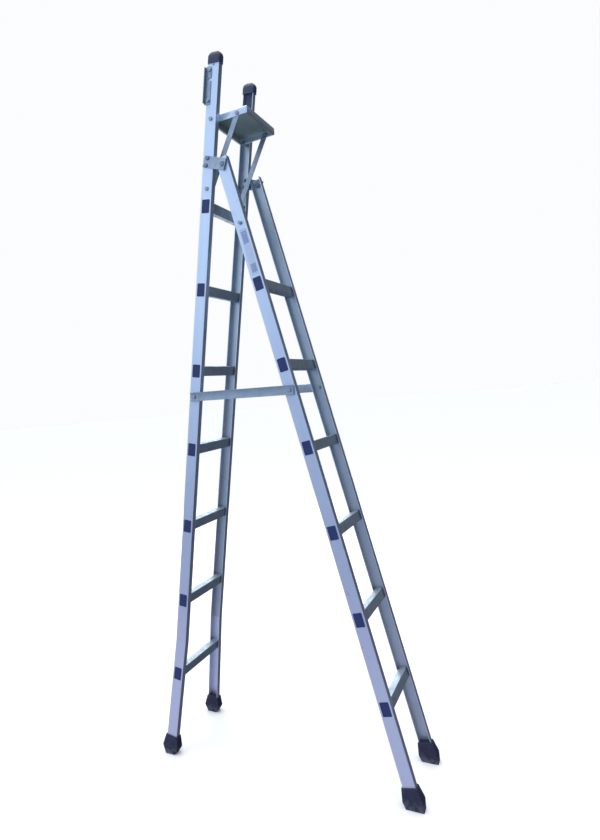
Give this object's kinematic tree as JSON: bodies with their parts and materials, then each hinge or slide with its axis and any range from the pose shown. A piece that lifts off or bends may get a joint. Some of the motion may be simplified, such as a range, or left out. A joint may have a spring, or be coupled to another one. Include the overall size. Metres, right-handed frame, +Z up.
{
  "type": "extension ladder",
  "caption": "Folding aluminium ladder: a base section with a standing platform and a hinged prop section that swings up to extend it.",
  "frame": {"origin": "centre of the footprint of the four boots, on the floor", "axes": "+Z up, X along the rungs with the lock plate on the +X side, +Y towards the prop section's feet"},
  "size_m": [0.4038, 1.0012, 2.6726],
  "materials": {
    "stile_aluminium": "mill extruded",
    "rung_aluminium": "mill extruded, grooved",
    "tray_aluminium": "folded sheet",
    "plate_steel": "zinc plated",
    "plated_steel": "bright zinc",
    "plug_plastic": "moulded",
    "cap_plastic": "moulded",
    "boot_rubber": "moulded",
    "label_film": "plain printed film"
  },
  "bodies": {
    "base_section": {"base_stile_right": "stile_aluminium", "base_stile_left": "stile_aluminium", "base_rung_plugs_right": "plug_plastic", "base_rung_plugs_left": "plug_plastic", "base_cap_right": "cap_plastic", "base_cap_left": "cap_plastic", "hinge_plate_right": "plate_steel", "hinge_plate_left": "plate_steel", "platform_strut_right": "plate_steel", "platform_strut_left": "plate_steel", "base_rung_1": "rung_aluminium", "base_rung_2": "rung_aluminium", "base_rung_3": "rung_aluminium", "base_rung_4": "rung_aluminium", "base_rung_5": "rung_aluminium", "base_rung_6": "rung_aluminium", "base_rung_7": "rung_aluminium", "platform_tray": "tray_aluminium", "platform_tread_ribs": "tray_aluminium", "cap_screws": "plated_steel", "hinge_plate_bolts": "plated_steel", "hinge_pivot_bolts": "plated_steel", "platform_bolts": "plated_steel", "platform_spacers": "plated_steel", "strut_foot_bolts": "plated_steel", "strut_spacers": "plated_steel", "strut_head_bolts": "plated_steel", "stay_pivot_bolts": "plated_steel", "lock_pivot_bolt": "plated_steel", "base_boot_right": "boot_rubber", "base_boot_left": "boot_rubber"},
    "prop_section": {"prop_stile_right": "stile_aluminium", "prop_stile_left": "stile_aluminium", "prop_rung_plugs_right": "plug_plastic", "prop_rung_plugs_left": "plug_plastic", "prop_label_right": "label_film", "prop_label_left": "label_film", "prop_rung_1": "rung_aluminium", "prop_rung_2": "rung_aluminium", "prop_rung_3": "rung_aluminium", "prop_rung_4": "rung_aluminium", "prop_rung_5": "rung_aluminium", "prop_rung_6": "rung_aluminium", "prop_stay_studs": "plated_steel", "lock_keeper_stud": "plated_steel", "prop_boot_right": "boot_rubber", "prop_boot_left": "boot_rubber"},
    "right_stay": {"stay_bar_right": "plate_steel", "stay_end_bolt_right": "plated_steel"},
    "left_stay": {"stay_bar_left": "plate_steel", "stay_end_bolt_left": "plated_steel"},
    "lock": {"lock_plate": "plate_steel", "lock_grip_rivet": "plated_steel"}
  },
  "joints": [
    {"name": "section_swing", "type": "hinge", "parent": "base_section", "child": "prop_section", "pos_m": [0, -0.03467, 2.2661], "axis": [1, 0, 0], "range_deg": [-21.5, 158]},
    {"name": "right_stay_fold", "type": "hinge", "parent": "base_section", "child": "right_stay", "pos_m": [0.1645, -0.23335, 1.43337], "axis": [1, 0, 0], "range_deg": [0, 81]},
    {"name": "left_stay_fold", "type": "hinge", "parent": "base_section", "child": "left_stay", "pos_m": [-0.1645, -0.23335, 1.43337], "axis": [1, 0, 0], "range_deg": [0, 81]},
    {"name": "lock_swing", "type": "hinge", "parent": "base_section", "child": "lock", "pos_m": [0.16, -0.06997, 2.50288], "axis": [-1, 0, 0], "range_deg": [0, 90]}
  ]
}
